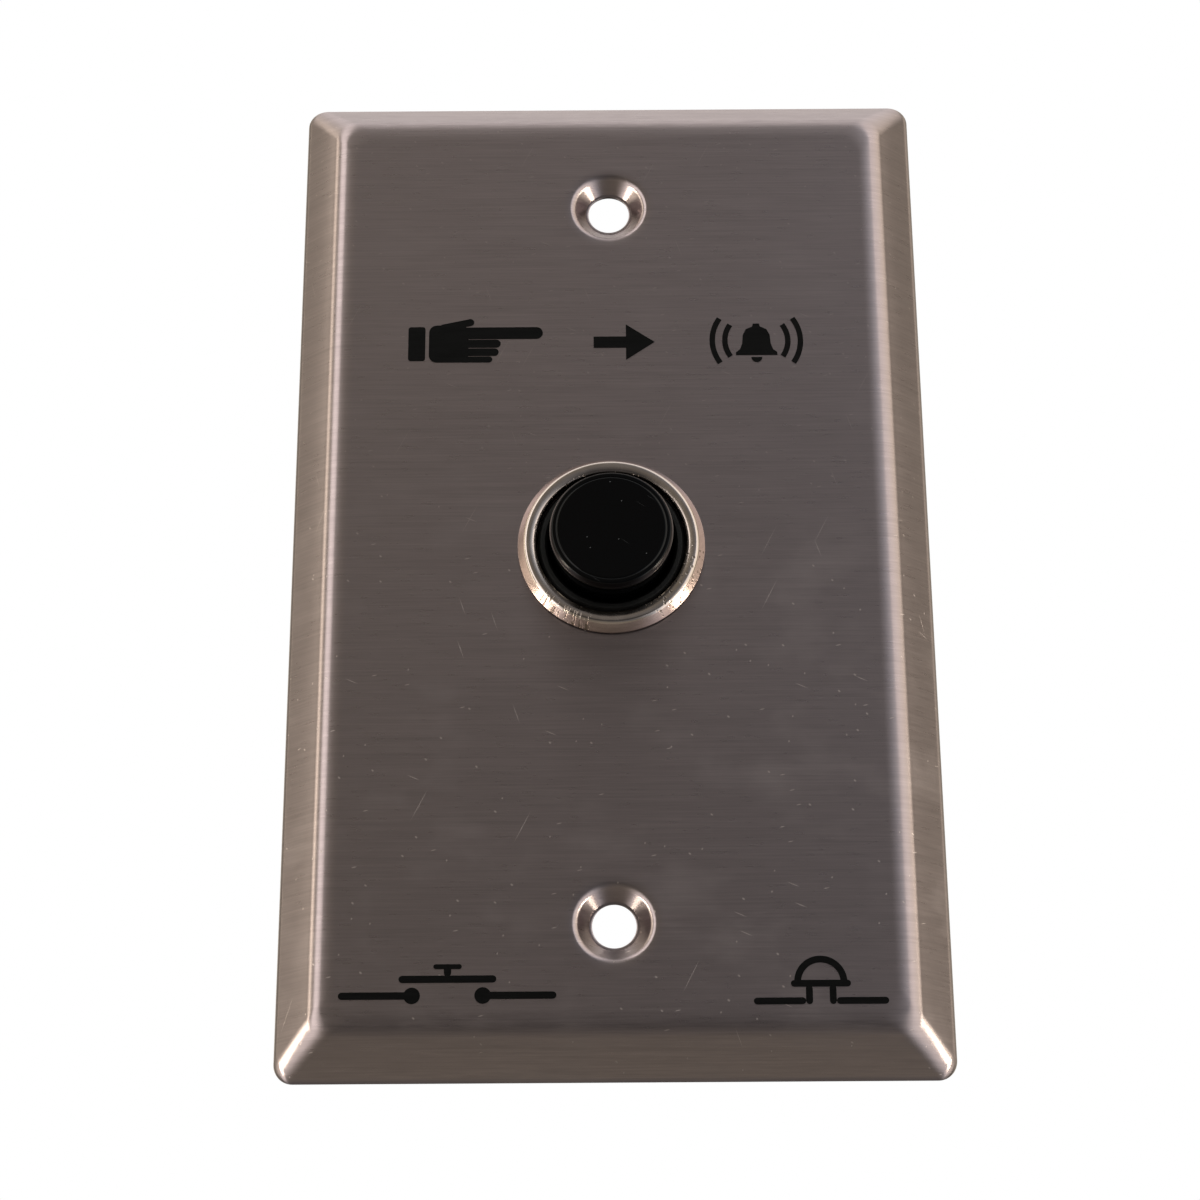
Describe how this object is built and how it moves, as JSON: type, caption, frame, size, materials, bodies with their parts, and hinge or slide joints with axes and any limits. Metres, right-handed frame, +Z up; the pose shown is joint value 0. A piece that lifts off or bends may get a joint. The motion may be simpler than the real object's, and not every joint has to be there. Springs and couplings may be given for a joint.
{
  "type": "wall plate push button",
  "caption": "Pressed stainless wall plate with bevelled edges and a sprung black push button, its round nut on the front and its switch, terminals and hexagon nut behind.",
  "frame": {"origin": "on the wall's plane, in the middle of the plate and on the button's axis", "axes": "+X to the right of someone facing the plate, +Y into the wall along the button's axis, +Z up along the plate's long side"},
  "size_m": [0.0698, 0.0316, 0.1142],
  "materials": {
    "stainless_plate": "brushed along the short side",
    "nickel": "bright nickel plate with tool marks",
    "zinc_steel": "zinc plate",
    "black_phenolic": "moulded, satin",
    "brown_phenolic": "punched laminate",
    "brass": "rolled",
    "contact_silver": "coined silver",
    "spring_steel": "drawn wire",
    "black_plastic": "polished",
    "nylon": "moulded"
  },
  "bodies": {
    "switch": {"faceplate": "stainless_plate", "dress_nut": "nickel", "lock_washer": "zinc_steel", "rear_nut": "nickel", "switch_housing": "black_phenolic", "terminal_base": "brown_phenolic", "base_screw_upper": "zinc_steel", "base_screw_lower": "zinc_steel", "terminal_left": "brass", "terminal_right": "brass", "clamp_washer_left": "zinc_steel", "clamp_washer_right": "zinc_steel", "terminal_screw_left": "zinc_steel", "terminal_screw_right": "zinc_steel", "fixed_contact_left": "contact_silver", "fixed_contact_right": "contact_silver", "return_spring": "spring_steel"},
    "plunger": {"button_cap": "black_plastic", "plunger_stem": "nylon", "contact_spring": "spring_steel", "contact_bridge": "brass", "bridge_contact_left": "contact_silver", "bridge_contact_right": "contact_silver", "stem_clip": "spring_steel"}
  },
  "joints": [
    {"name": "button_press", "type": "slide", "parent": "switch", "child": "plunger", "axis": [0, 1, 0], "range_m": [0, 0.0025], "stiffness_N_per_m": 600, "springref_m": -0.002, "deforming": ["return_spring"]}
  ]
}
